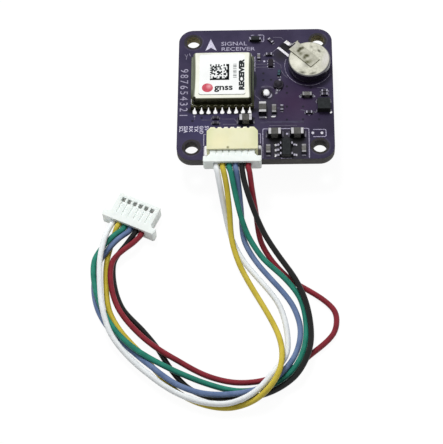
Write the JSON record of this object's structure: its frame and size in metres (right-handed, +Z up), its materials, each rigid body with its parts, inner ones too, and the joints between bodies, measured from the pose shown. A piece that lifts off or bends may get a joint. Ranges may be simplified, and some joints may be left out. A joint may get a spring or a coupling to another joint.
{
  "type": "satellite positioning module",
  "caption": "Square circuit board that carries a satellite receiver module, a backup cell and a patch antenna, with a plug-in lead.",
  "frame": {"origin": "middle of the board in plan, on the surface that the antenna's face rests on", "axes": "+Z up through the board, +Y from the connector edge to the far edge, +X to the right"},
  "size_m": [0.0381, 0.0653, 0.0087],
  "materials": {
    "board": "dark purple solder mask over glass laminate",
    "tape": "white adhesive sheet",
    "silver_foil": "fired silver foil",
    "patch_ceramic": "sintered dielectric ceramic",
    "tinned_metal": "tinned metal",
    "solder": "reflowed solder",
    "module_laminate": "laminate with gold pad grooves",
    "shield_metal": "drawn shield can of plated sheet",
    "label_film": "white printed label film",
    "chip_resin": "moulded black resin",
    "crystal_can": "seam welded lid",
    "filter_ceramic": "glazed ceramic",
    "header_nylon": "natural ivory nylon",
    "gold_contact": "gold flashed bronze",
    "plug_nylon": "natural white nylon",
    "white_insulation": "white wire insulation",
    "yellow_insulation": "yellow wire insulation",
    "green_insulation": "green wire insulation",
    "blue_insulation": "blue wire insulation",
    "black_insulation": "black wire insulation",
    "red_insulation": "red wire insulation",
    "cell_steel": "stainless steel with scuffs",
    "cell_seal": "black moulded seal",
    "tab_steel": "welded steel tab",
    "choke_ferrite": "dark ferrite",
    "coil_ceramic": "teal ceramic",
    "capacitor_ceramic": "grey brown ceramic",
    "small_capacitor_ceramic": "tan ceramic"
  },
  "bodies": {
    "root": {"circuit_board": "board", "tape_pad": "tape", "ground_foil": "silver_foil", "patch_ceramic": "patch_ceramic", "radiator_foil": "silver_foil", "feed_pin": "tinned_metal", "feed_joint": "solder", "module_base": "module_laminate", "shield_can": "shield_metal", "module_label": "label_film", "module_joints": "solder", "receiver_chip": "chip_resin", "reference_crystal": "crystal_can", "input_filter": "filter_ceramic", "header_housing": "header_nylon", "header_contacts": "gold_contact", "header_tabs": "tinned_metal", "header_joints": "solder", "board_plug_housing": "plug_nylon", "board_plug_terminals": "tinned_metal", "white_wire": "white_insulation", "yellow_wire": "yellow_insulation", "green_wire": "green_insulation", "blue_wire": "blue_insulation", "black_wire": "black_insulation", "red_wire": "red_insulation", "free_plug_housing": "plug_nylon", "free_plug_terminals": "tinned_metal", "cell_can": "cell_steel", "cell_gasket": "cell_seal", "cell_cap": "cell_steel", "cell_top_tab": "tab_steel", "cell_base_tab": "tab_steel", "cell_joints": "solder", "regulator_body": "chip_resin", "regulator_leads": "tinned_metal", "regulator_joints": "solder", "sensor_chip": "chip_resin", "sensor_joints": "solder", "amplifier_chip": "chip_resin", "amplifier_joints": "solder", "diode_body": "chip_resin", "diode_terminals": "tinned_metal", "choke_body": "choke_ferrite", "choke_terminals": "tinned_metal", "coil_body": "coil_ceramic", "coil_terminals": "tinned_metal", "large_capacitors": "capacitor_ceramic", "large_capacitor_ends": "tinned_metal", "medium_capacitors": "capacitor_ceramic", "medium_capacitor_ends": "tinned_metal", "small_capacitors": "small_capacitor_ceramic", "small_resistors": "chip_resin", "small_part_ends": "tinned_metal", "chip_joints": "solder", "bare_pads": "solder"}
  },
  "joints": []
}
